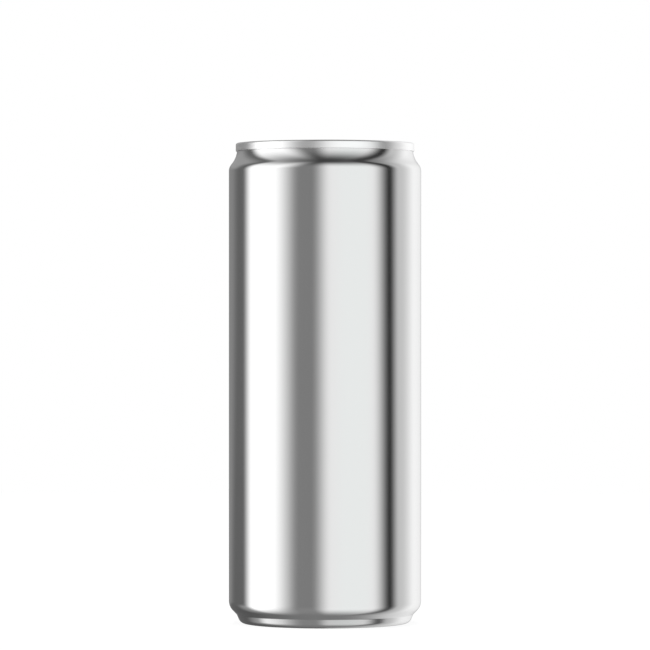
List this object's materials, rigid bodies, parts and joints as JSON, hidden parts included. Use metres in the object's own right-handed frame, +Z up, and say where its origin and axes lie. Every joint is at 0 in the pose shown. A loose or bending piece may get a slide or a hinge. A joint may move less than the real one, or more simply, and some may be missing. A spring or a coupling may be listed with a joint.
{
  "type": "slim beverage can",
  "caption": "Slim aluminium drinks can, shut and full, with a necked top, domed base, lid and stay-on tab, bare of print.",
  "frame": {"origin": "middle of the can's foot, on the surface it stands on", "axes": "+Z up along the can's axis, -Y towards the mouth of the lid, +Y towards the heel of the tab"},
  "size_m": [0.0533, 0.0532, 0.133],
  "materials": {
    "body_aluminium": "polished",
    "lid_aluminium": "brushed",
    "tab_aluminium": "satin"
  },
  "bodies": {
    "root": {"can_body": "body_aluminium", "can_end": "lid_aluminium", "pull_tab": "tab_aluminium"}
  },
  "joints": []
}
